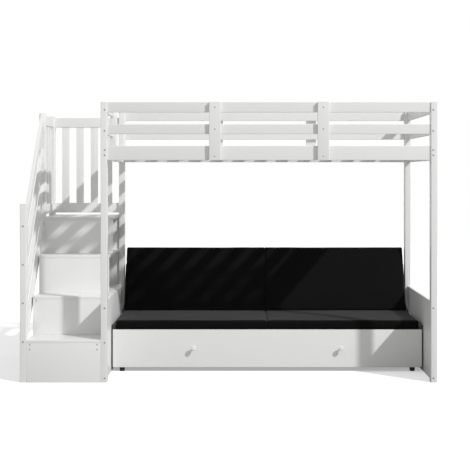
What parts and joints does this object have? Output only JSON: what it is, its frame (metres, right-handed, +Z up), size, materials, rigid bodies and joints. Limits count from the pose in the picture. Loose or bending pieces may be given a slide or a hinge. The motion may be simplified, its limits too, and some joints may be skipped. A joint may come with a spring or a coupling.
{
  "type": "bunk bed with stairs",
  "caption": "White timber upper bunk with guard rails, storage staircase at its left end, and a pull-out sofa bed on a steel frame with black cushions below.",
  "frame": {"origin": "on the floor, at the bottom centre of the whole object's box", "axes": "+X along the bunk from the stairs to the far end, -Y is the front where the stairs are climbed and the sofa is used, +Z up"},
  "size_m": [2.4842, 1.1212, 1.668],
  "materials": {
    "white_paint": "white satin paint on timber",
    "bare_wood": "bare bent plywood slat",
    "black_steel": "black powder coat",
    "black_plastic": "matte moulded",
    "zinc_fastener": "zinc plated",
    "black_fabric": "woven upholstery cloth"
  },
  "bodies": {
    "bunk_frame": {"slat_screws": "zinc_fastener", "post_front_left": "white_paint", "post_front_right": "white_paint", "post_back_left": "white_paint", "post_back_right": "white_paint", "entry_post": "white_paint", "front_top_rail": "white_paint", "front_mid_rail": "white_paint", "front_bed_rail": "white_paint", "back_top_rail": "white_paint", "back_mid_rail": "white_paint", "back_bed_rail": "white_paint", "right_top_rail": "white_paint", "right_mid_rail": "white_paint", "right_bed_rail": "white_paint", "left_top_rail": "white_paint", "left_mid_rail": "white_paint", "left_bed_rail": "white_paint", "front_stiles": "white_paint", "back_stiles": "white_paint", "slat_ledgers": "white_paint", "bed_slats": "white_paint", "left_end_panel": "white_paint", "right_end_panel": "white_paint", "back_cross_rail": "white_paint", "frame_bolts": "zinc_fastener", "guard_screws": "zinc_fastener", "newel_front": "white_paint", "newel_middle": "white_paint", "newel_back": "white_paint", "stair_rails": "white_paint", "landing_back_rails": "white_paint", "landing_back_balusters": "white_paint", "landing_side_rails": "white_paint", "landing_side_balusters": "white_paint", "tread_1": "white_paint", "tread_2": "white_paint", "tread_3": "white_paint", "landing": "white_paint", "riser_1": "white_paint", "upper_risers": "white_paint", "stair_side_panel": "white_paint", "stair_back_panel": "white_paint", "stair_cleats": "white_paint", "stair_screws": "zinc_fastener"},
    "sofa_base": {"sofa_front_board": "white_paint", "knobs": "white_paint", "seat_end_frames": "black_steel", "seat_long_tubes": "black_steel", "seat_slats": "bare_wood", "glide_feet": "black_plastic", "seat_cushion_left": "black_fabric", "seat_cushion_right": "black_fabric", "hinge_pins": "zinc_fastener"},
    "sofa_back": {"back_side_bars": "black_steel", "back_cross_bars": "black_steel", "back_slats": "bare_wood", "back_cushion_left": "black_fabric", "back_cushion_right": "black_fabric"}
  },
  "joints": [
    {"name": "sofa_pull_out", "type": "slide", "parent": "bunk_frame", "child": "sofa_base", "axis": [0, -1, 0], "range_m": [0, 0.31]},
    {"name": "back_recline", "type": "hinge", "parent": "sofa_base", "child": "sofa_back", "pos_m": [0, 0.3434, 0.317], "axis": [1, 0, 0], "range_deg": [-68, 0]}
  ],
  "couplings": [
    {"joint": "back_recline", "follows": "sofa_pull_out", "rad_per_m": -3.82}
  ]
}
